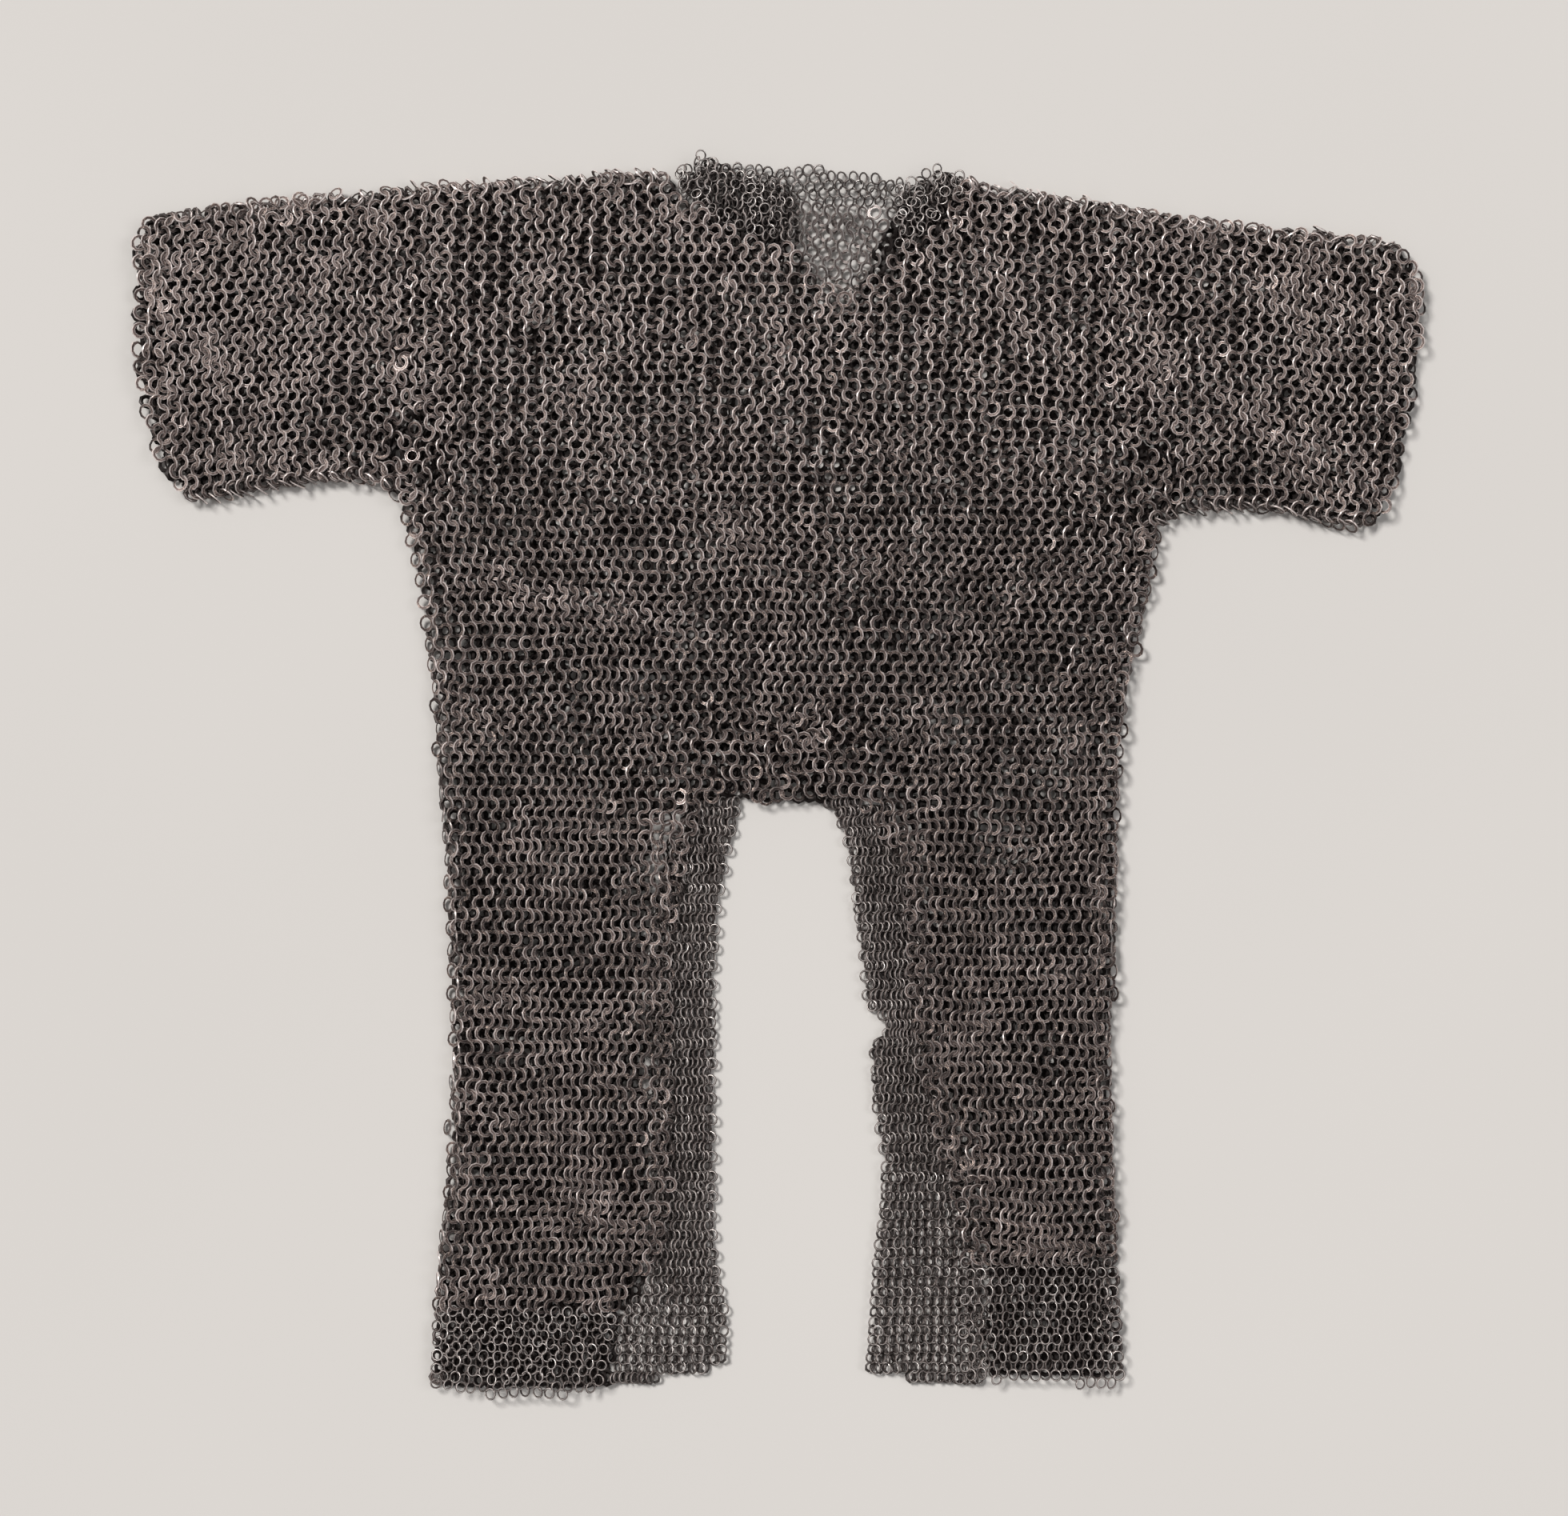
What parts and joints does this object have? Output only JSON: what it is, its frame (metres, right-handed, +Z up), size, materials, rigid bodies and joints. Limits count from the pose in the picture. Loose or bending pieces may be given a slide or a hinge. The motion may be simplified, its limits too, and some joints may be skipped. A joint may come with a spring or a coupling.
{
  "type": "chainmail hauberk",
  "caption": "Short-sleeved mail shirt of linked steel rings, laid flat, with a V neck, a small collar and a deep skirt slit.",
  "frame": {"origin": "middle of the laid-out shirt's outline, on the surface that it rests on", "axes": "+X across the shirt towards the wearer's left cuff, +Y from the hem to the neck, +Z up out of the front layer"},
  "size_m": [1.05, 1.016, 0.0167],
  "materials": {
    "large_rings": "worn dark iron, rims rubbed bright",
    "small_rings": "thin iron wire, rims rubbed bright"
  },
  "bodies": {
    "root": {"body_front": "large_rings", "body_back": "large_rings", "neck_band": "small_rings", "collar_right": "small_rings", "collar_left": "small_rings", "sleeve_right": "large_rings", "sleeve_left": "large_rings", "skirt_front_right": "large_rings", "hem_band_right": "small_rings", "skirt_back_right": "large_rings", "slit_strip_right": "small_rings", "skirt_front_left": "large_rings", "hem_band_left": "small_rings", "skirt_back_left": "large_rings", "slit_strip_left": "small_rings"}
  },
  "joints": []
}
